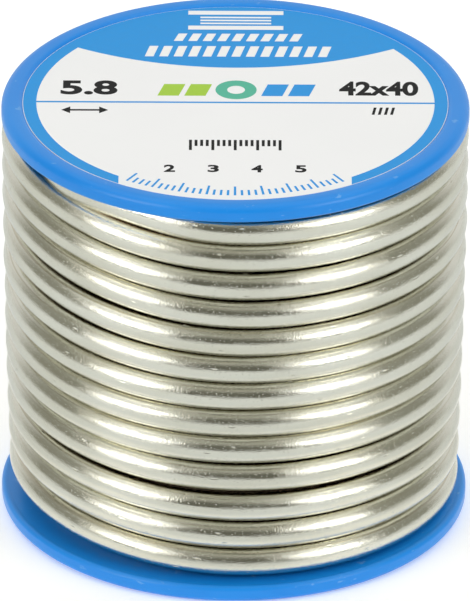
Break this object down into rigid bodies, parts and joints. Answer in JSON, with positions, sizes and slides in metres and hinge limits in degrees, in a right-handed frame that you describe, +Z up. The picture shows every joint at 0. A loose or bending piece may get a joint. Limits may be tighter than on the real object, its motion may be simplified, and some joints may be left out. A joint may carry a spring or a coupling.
{
  "type": "solder wire spool",
  "caption": "Round plastic spool standing on its lower flange, full of thick solder wire wound in neat turns, with a round paper label on top.",
  "frame": {"origin": "centre of the face that the spool stands on", "axes": "+Z up along the spool's axis, -Y towards the front of the picture, +X to the right"},
  "size_m": [0.042, 0.042, 0.04],
  "materials": {
    "spool_plastic": "satin moulded plastic, mid blue",
    "label_paper": "coated white paper with a blue print",
    "solder": "drawn tin solder wire, bright with fine drawing lines"
  },
  "bodies": {
    "root": {"lower_flange": "spool_plastic", "barrel": "spool_plastic", "upper_flange": "spool_plastic", "top_label": "label_paper", "outer_wire_layer": "solder", "inner_wire_layers": "solder"}
  },
  "joints": []
}
